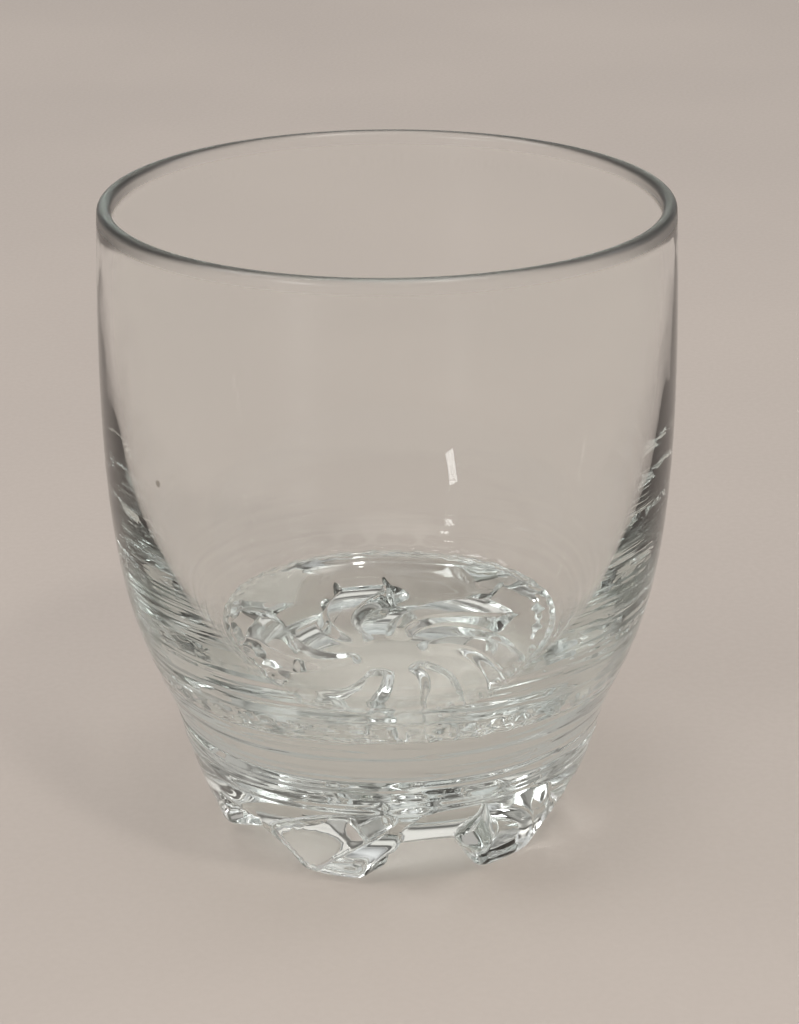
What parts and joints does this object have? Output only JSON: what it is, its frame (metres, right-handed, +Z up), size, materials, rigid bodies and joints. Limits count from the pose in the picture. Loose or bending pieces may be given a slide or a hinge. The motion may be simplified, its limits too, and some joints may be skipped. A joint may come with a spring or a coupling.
{
  "type": "pressed glass tumbler",
  "caption": "Clear pressed-glass tumbler: a plain barrel-shaped cup on a thick base, with channels that swirl out under the base and open as arches between rounded feet.",
  "frame": {"origin": "middle of the base, at the height of the table that the feet stand on", "axes": "+Z up along the cup's axis of revolution, out of its mouth; +X and +Y lie in the table plane, and the first foot lies 11 degrees from +X towards +Y"},
  "size_m": [0.078, 0.078, 0.09],
  "materials": {
    "clear_glass": "gloss"
  },
  "bodies": {
    "root": {"tumbler": "clear_glass"}
  },
  "joints": []
}
